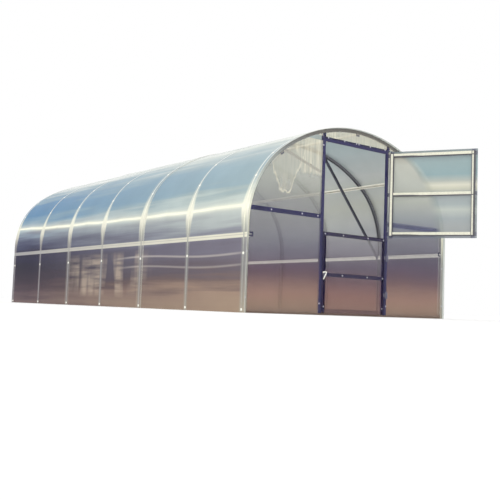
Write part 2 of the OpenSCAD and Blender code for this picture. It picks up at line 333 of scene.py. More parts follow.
def belly(run, y):
    """How far a sheet stands off its line: nothing at an arch, and halfway between arches out
    on the walls and in on the crown, by a sine's square that differs from bay to bay."""
    between = np.sin(math.pi * y / pitch) ** 2
    lift = np.sin(math.pi * run / (2 * half_run)) - 0.8
    uneven = 1 + 0.35 * np.sin(5 * run + 2.1 * np.floor(y / pitch))
    return between * np.where(lift > 0, -belly_in * lift * 5, -belly_out * lift) * uneven


def bent_sheet(name, offset, materials):
    """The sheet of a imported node, at offset from the arches' outline, with its belly."""
    low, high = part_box(name)
    steps = int(round((high.y - low.y) / 0.035)) + 1
    run, y = np.meshgrid(np.linspace(0, 2 * half_run, run_steps),
                         np.linspace(low.y, high.y, steps), indexing="ij")
    x, z, nx, nz = arch_line(run)
    skins = []
    for out in (offset + sheet_t + belly(run, y), offset + belly(run, y)):
        skins.append(np.stack([x + nx * out, y, z + nz * out], 2))
    made = shell(name + "_bent", *skins, materials)
    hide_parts(name)
    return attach(made, "frame")


plus, minus, larger, unsigned = map(math_node, ("ADD", "SUBTRACT", "MAXIMUM", "ABSOLUTE"))
sine, modulo, power = map(math_node, ("SINE", "MODULO", "POWER"))

# Twin-wall sheet: fine ribs between its skins, and a slow mottle from dust and haze
ribs, ribs_in, ribs_out = effect("sheet_ribs", {"Across": "Float", "Place": "Vector"},
                                 {"Shade": "Float", "Height": "Float"})
rib_wave = sine(times(ribs_in["Across"], 2 * math.pi / rib_pitch))
rib_shade = scaled(noise(ribs_in["Place"], 2.2, 6.0, 0.55), 0.26, 0.87)
fill(ribs_out, {"Shade": scaled(rib_wave, 0.02, rib_shade), "Height": rib_wave})

# A soft-edged band about a middle line, such as steel touching the back of a sheet
soft_band, band_in, band_out = effect(
    "soft_band", {"Coordinate": "Float", "Middle": "Float", "Half width": "Float", "Blur": "Float"},
    {"Mask": "Float"})
past_edge = minus(unsigned(minus(band_in["Coordinate"], band_in["Middle"])), band_in["Half width"])
fill(band_out, {"Mask": minus(1.0, share(past_edge, band_in["Blur"], clamp=True))})


def band(coordinate, middle, half_width, blur):
    """The mask of one soft band along a coordinate; the rest are numbers or sockets."""
    return use(soft_band, {"Coordinate": coordinate, "Middle": middle, "Half width": half_width,
                           "Blur": blur})["Mask"]


def glow(offset, width):
    """A mask that falls off on both sides of zero: 1 / (1 + (offset / width) squared) squared."""
    far = share(offset, width)
    return power(scaled(far, far, 1.0), -2.0)


def wandering(z, span, drift, swing):
    """Height as a part of span, moved up and down by a noise."""
    return plus(share(z, span), scaled(drift, swing, -swing / 2))


def sheet_look(shader, colour, across, spot, opacity, gloss=0.25):
    """Gives a shader a colour under the ribs, their bump and its gloss. The sheet is partly
    clear, and clearer still for daylight on its way into the greenhouse."""
    fine = use(ribs, {"Across": across, "Place": spot})
    path = put(shader.id_data, "ShaderNodeLightPath").outputs
    in_shadow = larger(path["Is Shadow Ray"], path["Is Diffuse Ray"])
    in_sight = times(minus(1.0, in_shadow), opacity)
    fill(shader, {"Base Color": shade(colour, fine["Shade"]), "Roughness": 0.25,
                  "Normal": bump(fine["Height"], 0.05, 0.0005), "Specular IOR Level": gloss,
                  "Alpha": scaled(in_shadow, shadow_opacity, in_sight)})


def roof_material(name, near_stops, far_stops, reach):
    """Outer skin: painted reflections of soil, horizon and sky as one tone for each height near the
    front and another, darker, near the rear, streaks along the roof, a painted highlight on the haunch,
    pale bands where steel touches the back, brightest where they cross that highlight, and smudges low
    on the middle bays."""
    made, shader = new_material(name)
    spot, x, y, z = place(shader)
    drift = noise(spot, 1.0, 5.0, stretch=(1.5, 0.5, 11.0))
    height = wandering(z, roof_h, drift, 0.24)
    rise = share(z, roof_h)
    distance = share(y, reach, clamp=True)
    tone = blend(distance, ramp(height, near_stops), ramp(height, far_stops))
    along = minus(modulo(plus(y, 10.5 * pitch), pitch), pitch / 2)

    # Smudges low on the middle bays: upright pale blocks with darker lines across them
    upright = noise(spot, 1.0, 2.0, stretch=(0.0, 3.1, 0.5))
    level = noise(spot, 1.0, 3.0, stretch=(0.0, 1.3, 15.0))
    blocks = times(scaled(upright, 7.0, -3.0, clamp=True), scaled(level, 3.0, -0.9, clamp=True))
    middle_bays = times(band(y, 2.9, 0.75, 0.45), band(z, 0.4, 0.2, 0.09))
    tone = blend(times(blocks, middle_bays), tone, paint(192, 176, 158), 0.62)

    # Two long creases in the first bays
    wave = times(sine(times(y, 2.4)), 0.018)
    for crease_z, crease_tone in ((0.585, 0.42), (0.47, 0.3)):
        crease = times(band(plus(z, wave), crease_z, 0.003, 0.014), band(y, 1.2, 1.0, 0.5))
        tone = blend(crease, tone, paint(214, 206, 196), crease_tone)

    # Dusty streaks along the crown
    streak = scaled(noise(spot, 1.0, 4.0, stretch=(3.0, 0.35, 34.0)), 4.0, -1.7, clamp=True)
    on_crown = scaled(z, 5.0, -8.6, clamp=True)
    tone = blend(times(streak, times(on_crown, 0.75)), tone, paint(176, 188, 184))

    # The low sky mirrored along the haunch: a thin bright line that bows in each bay
    bow = scaled(times(along, along), 0.03, scaled(drift, 0.05, -0.03))
    bow = scaled(times(y, y), 0.0029, bow)
    off_line = minus(minus(z, bow), glare_z)
    tone = blend(glow(off_line, 0.07), tone, paint(236, 238, 222), 0.3)
    tone = blend(glow(off_line, 0.027), tone, paint(255, 254, 232))

    # Arches and low purlins behind the sheet, with a painted highlight where they cross the glare and
    # painted shade low towards the rear
    flare = glow(minus(z, glare_z - 0.03), 0.2)
    off_centre = unsigned(minus(y, 3.0 * pitch))
    lapped = times(band(off_centre, pitch, 0.052, 0.02), scaled(flare, 0.6, 0.08))
    tone = blend(lapped, tone, paint(250, 249, 228))
    strength = ramp(rise, [(0.0, 0.85), (0.36, 0.7), (0.5, 0.95), (0.6, 0.7), (0.7, 0.3),
                           (1.0, 0.12)])
    touching = larger(band(along, 0.0, scaled(flare, 0.034, 0.019), 0.024),
                      beyond(off_centre, 3.0 * pitch))
    behind = ramp(rise, [
        (0.0, 172, 164, 148), (0.2, 148, 148, 146), (0.33, 152, 152, 150), (0.42, 190, 192, 178),
        (0.5, 252, 250, 230), (0.58, 236, 238, 220), (0.7, 190, 202, 204), (1.0, 240, 242, 236)])
    low_far_painted_shade = times(distance, band(z, 0.0, 0.85, 0.3))
    behind = blend(low_far_painted_shade, behind, paint(104, 96, 108), 0.85)
    tone = blend(times(touching, strength), tone, behind)
    low_purlin, high_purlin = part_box("purlin_low_left")
    middle_z = (low_purlin.z + high_purlin.z) / 2
    purlin_tone = blend(distance, paint(236, 233, 212), paint(168, 166, 164))
    tone = blend(band(z, middle_z, 0.021, 0.007), tone, purlin_tone, 0.93)
    tone = blend(band(z, middle_z + 0.004, 0.001, 0.004), tone, paint(150, 148, 150), 0.5)
    sheet_look(shader, tone, y, spot, roof_opacity, 0.05)
    return made


def inside_material(name, stops):
    """Inner skin: daylight that comes through, with the dark ground beyond low down, paler
    where the sheet runs past the gables."""
    made, shader = new_material(name)
    spot, x, y, z = place(shader)
    drift = noise(spot, 1.0, 4.0, stretch=(1.5, 0.5, 5.0))
    tone = ramp(wandering(z, roof_h, drift, 0.1), stops)
    past_gable = beyond(unsigned(minus(y, 3.0 * pitch)), 3.0 * pitch + 0.024)
    tone = blend(past_gable, tone, paint(226, 232, 228))
    sheet_look(shader, tone, y, spot, roof_opacity)
    return made


def edge_material(name):
    """Cut edge of a sheet under its foil tape: pale, with the tape's fine crinkle."""
    made, shader = new_material(name)
    crinkle = noise(place(shader)[0], 120.0, 3.0)
    fill(shader, {"Base Color": ramp(crinkle, [(0.3, 196, 198, 190), (0.7, 232, 234, 226)]),
                  "Roughness": 0.4})
    return made


glare_z = 1.06
# Painted reflection: the roof's tones by height stand for the soil, the horizon and the sky in the
# sheets, at the front and at the rear.
roof_near = [
    (0.00, 166, 146, 126), (0.08, 160, 138, 122), (0.14, 122, 106, 102), (0.20, 108, 100, 108),
    (0.28, 118, 114, 126), (0.36, 126, 124, 138), (0.42, 150, 154, 162), (0.48, 182, 190, 188),
    (0.545, 194, 206, 200), (0.585, 164, 180, 180), (0.64, 150, 172, 180), (0.74, 152, 175, 184),
    (0.82, 168, 184, 188), (0.89, 216, 222, 214), (0.94, 255, 255, 250)]
roof_far = [
    (0.00, 104, 86, 88), (0.08, 74, 58, 70), (0.14, 48, 36, 54), (0.20, 26, 18, 44),
    (0.28, 10, 8, 40), (0.36, 24, 23, 59), (0.42, 56, 61, 91), (0.50, 97, 106, 128),
    (0.56, 140, 160, 174), (0.60, 112, 146, 170), (0.66, 74, 124, 164), (0.74, 72, 124, 166),
    (0.82, 124, 154, 170), (0.89, 196, 206, 206), (0.96, 252, 252, 248)]
inside_stops = [
    (0.00, 154, 132, 116), (0.12, 156, 124, 112), (0.205, 122, 98, 100), (0.27, 100, 82, 96),
    (0.317, 88, 74, 98), (0.356, 106, 98, 114), (0.41, 138, 136, 148), (0.50, 158, 160, 168),
    (0.60, 180, 182, 180), (0.70, 190, 192, 182), (0.85, 192, 197, 195), (0.94, 176, 190, 192),
    (1.00, 170, 188, 190)]
roof_outside = roof_material("polycarbonate_roof", roof_near, roof_far, 5.4)
roof_inside = inside_material("polycarbonate_roof_inside", inside_stops)
cut_edge = edge_material("sheet_edge_tape")
for sheet_name in ("roof_sheet_front", "roof_sheet_middle", "roof_sheet_rear"):
    sheet_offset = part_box(sheet_name)[1].x - half_w - sheet_t
    bent_sheet(sheet_name, sheet_offset, [roof_outside, roof_inside, cut_edge])

# ---------------------------------------------------------------- roof straps
# A galvanised band over the sheets at each arch, ground to ground, slightly dished
# across its width and pulled tight by a bolt at each foot.
strap_w = 0.02
strap_t = 0.001
strap_dish = 0.0003
strap_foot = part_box("roof_straps")[0].z
over_one = 0.0047
over_lap = 0.0091
strap_out = [over_one if i < 2 or i > 4 else over_lap for i in range(arch_count)]


def strap_material(name):
    """Strap steel: zinc over a tone for each height, with a painted highlight at the glare's height and
    painted shade low towards the rear, duller towards the rear.
    """
    made, shader = new_material(name)
    spot, x, y, z = place(shader)
    tone = ramp(share(z, roof_h), [
        (0.0, 170, 160, 144), (0.2, 146, 146, 142), (0.31, 152, 153, 150), (0.38, 180, 182, 172),
        (0.46, 238, 238, 216), (0.56, 252, 250, 230), (0.64, 222, 226, 216), (0.78, 212, 220, 220),
        (1.0, 238, 240, 234)])
    low_far_painted_shade = times(share(y, rear_end), band(z, 0.0, 0.85, 0.3))
    tone = blend(low_far_painted_shade, tone, paint(110, 102, 112), 0.8)
    coat = coated(shader, spot, tone, paint(150, 150, 152), scaled(y, 0.09, 0.1))
    fill(shader, {"Base Color": coat["Colour"]})
    return made


def strap(name, y, out, material):
    """One band: five points across, dished by a parabola, carried along the arch line."""
    run, across = np.meshgrid(np.linspace(strap_foot, 2 * half_run - strap_foot, run_steps),
                              np.linspace(-1, 1, 5), indexing="ij")
    x, z, nx, nz = arch_line(run)
    dish = strap_dish * across ** 2
    skins = []
    for lift in (out + strap_t - dish, out - dish):
        skins.append(np.stack([x + nx * lift, y + across * strap_w / 2, z + nz * lift], 2))
    return shell(name, *skins, [material, material, material])


def join(pieces, name):
    """One mesh from several, under a new name."""
    with bpy.context.temp_override(active_object=pieces[0], selected_editable_objects=pieces):
        bpy.ops.object.join()
    pieces[0].name = pieces[0].data.name = name
    return pieces[0]


strap_zinc_and_glare = strap_material("zinc_straps")
straps = join([strap(f"strap_{i}", arch_y[i], strap_out[i], strap_zinc_and_glare)
               for i in range(arch_count)], "roof_straps_dished")
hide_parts("roof_straps")
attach(straps, "frame")

# ---------------------------------------------------------------- roof bolts
# A bolt under a white nylon cap and washer through strap, sheet and arch: at each
# foot, below the low purlin, on the haunch, and over the crown.
cap_profile = np.array([[0.0270, 0.0], [0.0276, 0.0008], [0.0256, 0.0018], [0.0160, 0.0026],
                        [0.0140, 0.0042], [0.0118, 0.0052], [0.0070, 0.0058]])
bolt_runs = np.array([0.03, 0.58, wall_h + 0.506 * haunch_r, wall_h + 0.837 * haunch_r,
                      half_run - 0.6])


def turned(name, profile, centres, axes, material, sides=14):
    """The same turned shape at each centre: a profile of (radius, height) carried round that
    centre's axis, closed by a point at its foot and one at its top."""
    centres, axes = np.array(centres, float), np.array(axes, float)
    axes = axes / np.linalg.norm(axes, axis=1, keepdims=True)
    helper = np.where(np.abs(axes[:, 2:]) < 0.9, [[0.0, 0, 1]], [[1.0, 0, 0]])
    side = np.cross(helper, axes)
    side = side / np.linalg.norm(side, axis=1, keepdims=True)
    angle = np.arange(sides) * 2 * math.pi / sides
    ring = np.cos(angle)[None, :, None] * side[:, None]
    ring = ring + np.sin(angle)[None, :, None] * np.cross(axes, side)[:, None]
    points = centres[:, None, None] + profile[None, :, None, :1] * ring[:, None]
    points = points + profile[None, :, None, 1:] * axes[:, None, None]
    ends = np.stack([centres + profile[0, 1] * axes, centres + profile[-1, 1] * axes], 1)
    block = np.concatenate([points.reshape(len(centres), -1, 3), ends], 1)
    index = np.arange(len(profile) * sides).reshape(len(profile), sides)
    ahead = np.roll(index, -1, 1)
    foot = np.full(sides, index.size)
    walls = np.stack([index[:-1], ahead[:-1], ahead[1:], index[1:]], -1).reshape(-1, 4)
    fans = np.concatenate([np.stack([ahead[0], index[0], foot], 1),
                           np.stack([index[-1], ahead[-1], foot + 1], 1)])
    start = (np.arange(len(centres)) * block.shape[1])[:, None, None]
    faces = (walls + start).reshape(-1, 4).tolist() + (fans + start).reshape(-1, 3).tolist()
    mesh = bpy.data.meshes.new(name)
    mesh.from_pydata(block.reshape(-1, 3).tolist(), [], faces)
    mesh.materials.append(material)
    mesh.polygons.foreach_set("use_smooth", np.ones(len(faces), bool))
    mesh.set_sharp_from_angle(angle=math.radians(40))
    made = bpy.data.objects.new(name, mesh)
    bpy.context.scene.collection.objects.link(made)
    return made


def enamel_material(name, colour, grimy):
    """White enamel or nylon with grimy spots."""
    made, shader = new_material(name)
    grime = scaled(noise(place(shader)[0], 60.0, 4.0), 2.0, -0.9, clamp=True)
    fill(shader, {"Base Color": blend(grime, colour, grimy), "Roughness": 0.35})
    return made


nylon = enamel_material("nylon_caps", paint(252, 251, 240), paint(220, 218, 206))
both_sides = np.concatenate([bolt_runs, 2 * half_run - bolt_runs])
cap_seat = cap_profile[4, 1]
bolt_y = np.repeat(arch_y, len(both_sides))
bolt_lift = np.repeat(strap_out, len(both_sides)) + strap_t - cap_seat
bolt_x, bolt_z, bolt_nx, bolt_nz = arch_line(np.tile(both_sides, arch_count))
bolts = turned("roof_bolt_caps", cap_profile,
               np.stack([bolt_x + bolt_nx * bolt_lift, bolt_y, bolt_z + bolt_nz * bolt_lift], 1),
               np.stack([bolt_nx, 0 * bolt_nx, bolt_nz], 1), nylon)
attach(bolts, "frame")

# ---------------------------------------------------------------- purlin bolts
# Galvanised M6 hexagon bolts through both flanges of the low purlins and base rails
# into the flat of each arch between the gables, with their heads and washers inside.
hex_profile = np.array([[0.0078, 0.0], [0.0078, 0.0011], [0.0057, 0.0012], [0.0057, 0.0044],
                        [0.0046, 0.0052]])
flange_off = 0.0175
steel_t = 0.0012
bolted_rails = ["purlin_low_left", "purlin_low_right", "base_rail_left", "base_rail_right"]
hex_centres = []
hex_axes = []
for rail_name in bolted_rails:
    low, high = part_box(rail_name)
    outer_x = max(low.x, high.x, key=abs)
    inward = -math.copysign(1, outer_x)
    for off in (-flange_off, flange_off):
        bolt_at = max((low.z + high.z) / 2 + off, hex_profile[0, 0])
        for y in arch_y[1:-1]:
            hex_centres.append([outer_x + inward * steel_t, y, bolt_at])
            hex_axes.append([inward, 0, 0])
hex_bolts = turned("purlin_bolts", hex_profile, hex_centres, hex_axes, rail_zinc, sides=6)
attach(hex_bolts, "frame")

# ---------------------------------------------------------------- gable frames
# Posts, head rail and mid rails of the same profile, close behind the gable sheets.
# Their coating mirrors the dark ground and reads as navy.
gable_zinc = zinc_material("zinc_gable", paint(32, 30, 78), paint(60, 58, 106), 0.6, 0.1)
dress(["front_post_left", "front_post_right", "front_head_rail", "front_mid_rail_left",
       "front_mid_rail_right", "rear_posts", "rear_rails"], gable_zinc)

# ---------------------------------------------------------------- gable sheets
# Flat 4 mm twin-wall sheets cut to the arch, left, right and above the doorway, with upright ribs. Their
# warm foot is a painted reflection of the soil, and frost runs down the upper corners.
smaller, root, short_of = map(math_node, ("MINIMUM", "SQRT", "LESS_THAN"))
frost, frost_in, frost_out = effect("frost_runs", {"Across": "Float", "Height": "Float"},
                                    {"Mask": "Float"})
frost_place = put(frost, "ShaderNodeCombineXYZ", {0: frost_in["Across"], 2: frost_in["Height"]})
frost_noise = noise(frost_place.outputs[0], 1.0, 5.0, 0.62, (36.0, 1.0, 2.0))
fill(frost_out, {"Mask": scaled(frost_noise, 3.6, -1.35, clamp=True)})

# How deep a point of the gable lies inside the arch's outline: by the haunch's circle
# below the joint of the arcs, and by the crown's circle above it
depth, depth_in, depth_out = effect("arch_depth", {"Across": "Float", "Height": "Float"},
                                    {"Depth": "Float"})
side_x = minus(unsigned(depth_in["Across"]), half_w - haunch_r)
rise_z = larger(minus(depth_in["Height"], wall_h), 0.0)
haunch_far = root(scaled(side_x, side_x, times(rise_z, rise_z)))
crown_up = minus(depth_in["Height"], arch_high.z - crown_r)
crown_far = root(scaled(depth_in["Across"], depth_in["Across"], times(crown_up, crown_up)))
on_haunch = beyond(times(side_x, math.sin(haunch_a)), times(rise_z, math.cos(haunch_a)))
chosen = put(depth, "ShaderNodeMix", {0: on_haunch, 2: minus(crown_r, crown_far),
                                      3: minus(haunch_r, haunch_far)}, data_type="FLOAT")
fill(depth_out, {"Depth": chosen.outputs[0]})


def patch(spot, x, z, left, right, bottom, lean, streaked, rim):
    """The mask of one frost patch that hangs from the arch: between two leaning sides and a
    ragged bottom, with streaks inside and a bright rim, each at its own strength."""
    rise = minus(z, bottom)
    spread = times(rise, lean)
    inside = smaller(plus(minus(x, left), spread), minus(plus(spread, right), x))
    ragged = noise(spot, 1.0, 3.0, stretch=(26.0, 1.0, 9.0))
    inside = plus(smaller(inside, rise), scaled(ragged, 0.11, -0.055))
    runs = use(frost, {"Across": x, "Height": z})["Mask"]
    filled = times(times(inside, 40.0, clamp=True), scaled(runs, streaked, 0.12))
    return larger(filled, times(band(inside, 0.014, 0.004, 0.012), rim))


# The end of a hat profile against the sheet: its flat and its two sides, as dark strokes that include
# their painted shadow
hat_end, hat_in, hat_out = effect("hat_end", {"Along": "Float", "Deep": "Float"}, {"Mask": "Float"})
hat_w = 0.044
hat_d = 0.036
stroke = 0.005
flat_stroke = times(band(hat_in["Deep"], 0.0, stroke, stroke),
                    band(hat_in["Along"], 0.0, hat_w / 2, stroke))
side_stroke = times(band(unsigned(hat_in["Along"]), hat_w / 2 - stroke, stroke, stroke),
                    band(hat_in["Deep"], hat_d / 2, hat_d / 2, stroke))
fill(hat_out, {"Mask": larger(flat_stroke, side_stroke)})


def profile_end(side_off, z, middle, lean):
    """The mask of a purlin's end: centred at middle (|x|, z), its open side turned by lean
    from +X towards +Z."""
    off_x = minus(side_off, middle[0])
    off_z = minus(z, middle[1])
    along = minus(times(off_z, math.cos(lean)), times(off_x, math.sin(lean)))
    deep = plus(times(off_z, math.sin(lean)), scaled(off_x, math.cos(lean), hat_d / 2))
    return use(hat_end, {"Along": along, "Deep": deep})["Mask"]


def any_of(masks):
    """The strongest of several masks."""
    strongest = masks[0]
    for mask in masks[1:]:
        strongest = larger(strongest, mask)
    return strongest


# How opaque a gable or door sheet is, away from the steel that touches its back
gable_opacity = 0.42


def flat_sheet_material(name, stops, span, contacts, gable=False):
    """A flat sheet's look: a tone for each height that is a painted reflection of soil and sky, ribs,
    and clear bands where the profiles touch its back. Each contact is (axis, middle, half width, from
    |x|). On a gable the arch, with a painted highlight on its face, the strut and the purlins' ends show
    too, and frost hangs in the upper corners."""
    made, shader = new_material(name)
    spot, x, y, z = place(shader)
    tone = ramp(wandering(z, span, noise(spot, 1.6, 4.0), 0.08), stops)
    side_off = unsigned(x)
    axes = {"x": side_off, "z": z}
    touching = any_of([times(band(axes[axis], middle, half_width, 0.003), beyond(side_off, start))
                       for axis, middle, half_width, start in contacts])
    opaque = times(scaled(touching, -0.94, 1.0), gable_opacity)
    if gable:
        iced = any_of([patch(spot, x, z, *spec) for spec in frost_patches])
        iced = times(iced, minus(1.0, touching))
        tone = blend(iced, tone, paint(242, 236, 210), 0.85)
        strut_low, strut_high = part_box("front_strut")
        slope = (strut_high.z - strut_low.z - strut_w) / (strut_high.x - strut_low.x)
        strut_line = scaled(minus(x, strut_low.x), slope, z)
        strut = times(band(strut_line, strut_high.z - strut_w / 2, strut_w / 2, 0.004),
                      short_of(x, -post_edge))
        tone = blend(strut, tone, paint(146, 142, 134), 0.6)
        ends = any_of([profile_end(side_off, z, *spec) for spec in purlin_ends])
        tone = blend(ends, tone, paint(44, 42, 72), 0.9)
        inward = use(depth, {"Across": x, "Height": z})["Depth"]
        inner_line = band(inward, arch_band + 0.003, 0.002, 0.005)
        tone = blend(inner_line, tone, paint(70, 64, 72), 0.45)
        # Painted highlight on the arch's face behind the sheet: brightest at the glare's height, darker
        # towards the crown
        face = ramp(share(z, roof_h), [
            (0.0, 170, 164, 150), (0.2, 156, 156, 150), (0.33, 160, 160, 154),
            (0.42, 206, 206, 188), (0.52, 240, 240, 220), (0.62, 206, 212, 202),
            (0.74, 170, 176, 172), (0.84, 132, 134, 132), (0.92, 112, 110, 106),
            (1.0, 104, 101, 96)])
        on_arch = band(inward, 0.0, arch_band, 0.003)
        tone = blend(on_arch, tone, face)
        painted = any_of([times(iced, 0.5), on_arch, ends])
        opaque = larger(opaque, times(painted, 0.9))
    sheet_look(shader, tone, x, spot, opaque)
    return made


def contact(axis, node, start=0.0):
    """The contact band of a packed profile, across x or along z, where |x| is past start."""
    low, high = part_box(node)
    low, high = (low.x, high.x) if axis == "x" else (low.z, high.z)
    return axis, abs(low + high) / 2, abs(high - low) / 2, start


# Painted reflection: warm soil tones low on the sheet, violet near the horizon's height and paler sky
# above.
gable_stops = [
    (0.00, 154, 132, 118), (0.05, 156, 130, 114), (0.10, 160, 128, 116), (0.15, 142, 115, 109),
    (0.20, 117, 95, 101), (0.25, 106, 91, 106), (0.30, 104, 97, 112), (0.37, 108, 106, 120),
    (0.43, 118, 116, 128), (0.55, 138, 138, 142), (0.62, 160, 161, 154), (0.70, 186, 187, 176),
    (0.85, 186, 184, 172), (1.00, 208, 206, 190)]
# Each frost patch: left and right foot, bottom, lean of its sides, streaks and rim
frost_patches = [(-1.08, -0.96, 1.225, 0.45, 0.3, 0.9), (-0.8, -0.5, 1.46, 0.45, 1.0, 0.2),
                 (-0.6, 0.6, 1.8, 2.0, 0.7, 0.0)]
# Where the low, high and ridge purlins end on the gable, clear of the arch's face: |x| and z,
# and the lean of the open side
purlin_ends = [((1.434, 0.77), 0.0), ((1.08, 1.64), haunch_a), ((0.0, 1.9996), math.pi / 2)]
strut_w = 0.03
arch_band = 0.036
gable_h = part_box("front_panel_top")[1].z
post_edge = abs(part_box("front_post_left")[0].x)
gable_contacts = [contact("x", "front_post_left"), contact("z", "front_head_rail"),
                  contact("z", "front_mid_rail_left", post_edge)]
gable_sheet_material = flat_sheet_material("polycarbonate_gable", gable_stops, gable_h, gable_contacts,
                                   gable=True)
dress(["front_panel_left", "front_panel_right", "front_panel_top", "rear_panels"], gable_sheet_material)

# ---------------------------------------------------------------- door leaf
# The shut lower half of the doorway: a channel frame with a mid rail, and a flat
# sheet on its outside that laps over the posts.
leaf_profile = 0.04
door_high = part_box("door_leaf_frame")[1]
door_rail_z = 0.428
# Painted reflection: warm soil tones low on the door sheet, cooler above.
door_stops = [
    (0.00, 136, 112, 106), (0.12, 146, 112, 106), (0.24, 140, 106, 104), (0.42, 118, 96, 104),
    (0.58, 112, 104, 116), (0.80, 136, 132, 140), (1.00, 150, 148, 150)]
door_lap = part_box("door_leaf_sheet")[1].x - door_high.x
door_contacts = [("x", door_high.x + (door_lap - leaf_profile) / 2, (door_lap + leaf_profile) / 2, 0.0),
                 ("z", door_rail_z, leaf_profile / 2, 0.0),
                 ("z", door_high.z - leaf_profile / 2, leaf_profile / 2, 0.0)]
door_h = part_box("door_leaf_sheet")[1].z
door_sheet_material = flat_sheet_material("polycarbonate_door", door_stops, door_h, door_contacts)
dress(["door_leaf_sheet", "rear_leaf_sheets"], door_sheet_material)
# Painted shade and reflection: the leaf's frame is painted navy for the dark ground that its shaded zinc
# mirrors.
leaf_zinc = zinc_material("zinc_door_leaf", paint(40, 34, 74), paint(68, 60, 100), 0.6, 0.1)
dress(["door_leaf_frame", "rear_leaf_frames"], leaf_zinc)

# ---------------------------------------------------------------- vent leaf
# The upper half, swung wide open. Low sun lights its frame from the inside, and the
# sheet beyond shows the sky and the gable through its ribs.
vent_joint = next(j for j in frame["joints"] if j["name"] == "vent_hinge")
vent_turn = math.radians(-vent_joint["range_deg"][0])
hinge_x, hinge_y = (float(place_m) for place_m in vent_joint["pos_m"][:2])
way_x, way_y = -math.cos(vent_turn), -math.sin(vent_turn)
vent_low, vent_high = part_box("vent_leaf_frame")
vent_rails = [vent_low.z + leaf_profile / 2, (vent_low.z + vent_high.z) / 2,
              vent_high.z - leaf_profile / 2]
stile_out = hinge_x - door_high.x + leaf_profile / 2
leaf_reach = hinge_x + door_high.x + stile_out - leaf_profile / 2

# What shows through the open sheet: the arch's curve, as an ellipse over the leg's top, and
# the gable's rail, which falls away from the hinges
curve_rise = 0.98
curve_reach = 0.56
curve_sharp = 9.0
shadow_z = 1.045
shadow_fall = 0.137


def way_out(x, y):
    """How far out from the hinge line a point of the open leaf lies: its offset from that line
    in x and y, projected on the leaf's way."""
    return scaled(minus(y, hinge_y), way_y, times(minus(x, hinge_x), way_x))


def vent_sheet_material(name):
    """The vent sheet: painted sky tones by height, a cream band of far haze, and a greyer part next to
    the hinges, where the gable lies behind. The leaf's own frame and a rail of the gable show through it
    as dark bands, and its free edge is painted dark with shade."""
    made, shader = new_material(name)
    spot, x, y, z = place(shader)
    out = way_out(x, y)
    low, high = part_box("vent_leaf_sheet")
    height = share(minus(z, low.z), high.z - low.z)
    sky = ramp(height, [
        (0.00, 136, 144, 150), (0.12, 150, 156, 156), (0.22, 150, 160, 162), (0.32, 180, 188, 180),
        (0.38, 154, 166, 166), (0.50, 146, 156, 158), (0.56, 196, 196, 176), (0.60, 214, 212, 192),
        (0.65, 168, 176, 168), (0.72, 132, 162, 166), (0.86, 140, 166, 168), (1.00, 124, 136, 140)])
    wall = ramp(height, [
        (0.00, 126, 130, 142), (0.10, 134, 138, 150), (0.24, 158, 164, 166), (0.42, 182, 186, 178),
        (0.60, 188, 192, 184), (0.84, 196, 198, 188), (1.00, 180, 176, 162)])
    up = share(minus(z, wall_h), curve_rise)
    reach = root(minus(1.0, times(up, up), clamp=True))
    edge = scaled(scaled(reach, -curve_reach, out), curve_sharp, 0.5, clamp=True)
    tone = blend(edge, wall, sky)
    framed = [band(out, stile, leaf_profile / 2, 0.002) for stile in (stile_out, leaf_reach - stile_out)]
    framed += [band(z, rail_middle, leaf_profile / 2, 0.002) for rail_middle in vent_rails]
    tone = blend(any_of(framed), tone, paint(66, 66, 96), 0.75)
    slant = scaled(out, shadow_fall, z)
    rail_shadow = times(band(slant, shadow_z, 0.018, 0.016), band(out, 0.28, 0.26, 0.06))
    tone = blend(rail_shadow, tone, paint(74, 76, 112), 0.75)
    # Painted shade along the free edge
    tone = blend(beyond(out, leaf_reach - 0.003), tone, paint(40, 40, 66))
    sheet_look(shader, tone, out, spot, 0.66)
    return made


dress(["vent_leaf_sheet"], vent_sheet_material("polycarbonate_vent"))


def lit_frame_material(name):
    """Bright zinc that mirrors the sky, but the dark ground on faces that point down or away
    along the leaf, by the surface's own direction."""
    made, shader = new_material(name)
    spot, x, y, z = place(shader)
    facing = put(shader.id_data, "ShaderNodeTexCoord").outputs["Normal"]
    turned_to = []
    for way in ((0, 0, -1), (way_x, way_y, 0)):
        turned_to.append(put(shader.id_data, "ShaderNodeVectorMath", {0: facing, 1: way},
                             operation="DOT_PRODUCT").outputs["Value"])
    mirror_dark = scaled(any_of(turned_to), 4.0, -1.6, clamp=True)
    coat = coated(shader, spot, paint(240, 238, 216), paint(204, 206, 196), 0.5)
    tone = blend(mirror_dark, coat["Colour"], paint(30, 28, 52))

    # Painted shade in the throat of each rolled profile: under the rails, widest near the hinges, and
    # along the outer half of the free stile
    out = way_out(x, y)
    near_hinge = scaled(out, -9.0, 3.4, clamp=True)
    shade_half_width = scaled(near_hinge, 0.006, 0.004)
    past_stile = beyond(out, stile_out + leaf_profile / 2)
    throat_painted_shades = [beyond(out, leaf_reach - stile_out + 0.002)]
    for line_out, line_half in ((stile_out + leaf_profile * 0.42, 0.004),
                                (stile_out - leaf_profile * 0.4, 0.003),
                                (leaf_reach - stile_out - leaf_profile * 0.44, 0.003)):
        throat_painted_shades.append(band(out, line_out, line_half, 0.002))
    for rail_middle in vent_rails:
        under_rail = band(z, rail_middle - leaf_profile * 0.4, shade_half_width, 0.002)
        throat_painted_shades.append(times(under_rail, past_stile))
    tone = blend(any_of(throat_painted_shades), tone, paint(38, 36, 62), 0.9)
    fill(shader, {"Base Color": tone})
    return made


dress(["vent_leaf_frame"], lit_frame_material("zinc_vent_leaf"))

